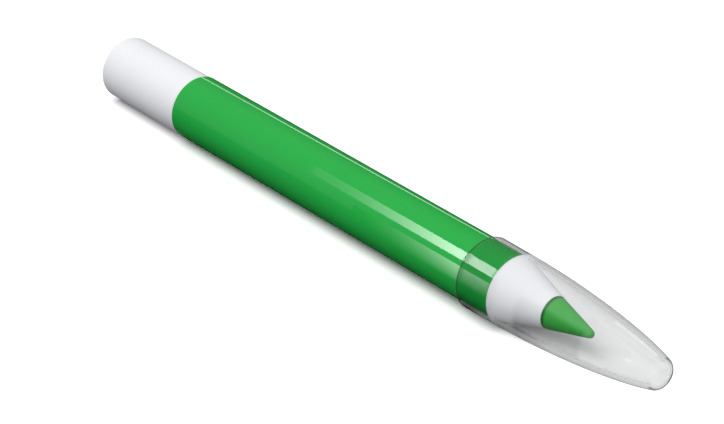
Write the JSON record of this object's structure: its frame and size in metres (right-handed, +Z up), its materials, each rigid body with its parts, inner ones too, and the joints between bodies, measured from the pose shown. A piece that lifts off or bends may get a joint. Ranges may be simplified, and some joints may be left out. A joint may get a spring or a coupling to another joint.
{
  "type": "jumbo crayon",
  "caption": "Thick sharpenable cosmetic crayon: white round casing with a green film label, green waxy lead and a clear push-on ogive cap.",
  "frame": {"origin": "on the surface that the crayon lies on, under the middle of its length with the cap on", "axes": "+X along the crayon from the rear end to the nose of the cap, +Z up from the surface, +Y across"},
  "size_m": [0.1382, 0.0128, 0.0127],
  "materials": {
    "casing_plastic": "satin",
    "lead_wax": "satin",
    "plug_plastic": "satin",
    "label_film": "gloss",
    "cap_clear": "polished"
  },
  "bodies": {
    "crayon": {"casing": "casing_plastic", "lead": "lead_wax", "end_plug": "plug_plastic", "label": "label_film"},
    "cap": {"cap": "cap_clear"}
  },
  "joints": [
    {"name": "cap_pull", "type": "slide", "parent": "crayon", "child": "cap", "axis": [1, 0, 0], "range_m": [0, 0.045]}
  ]
}
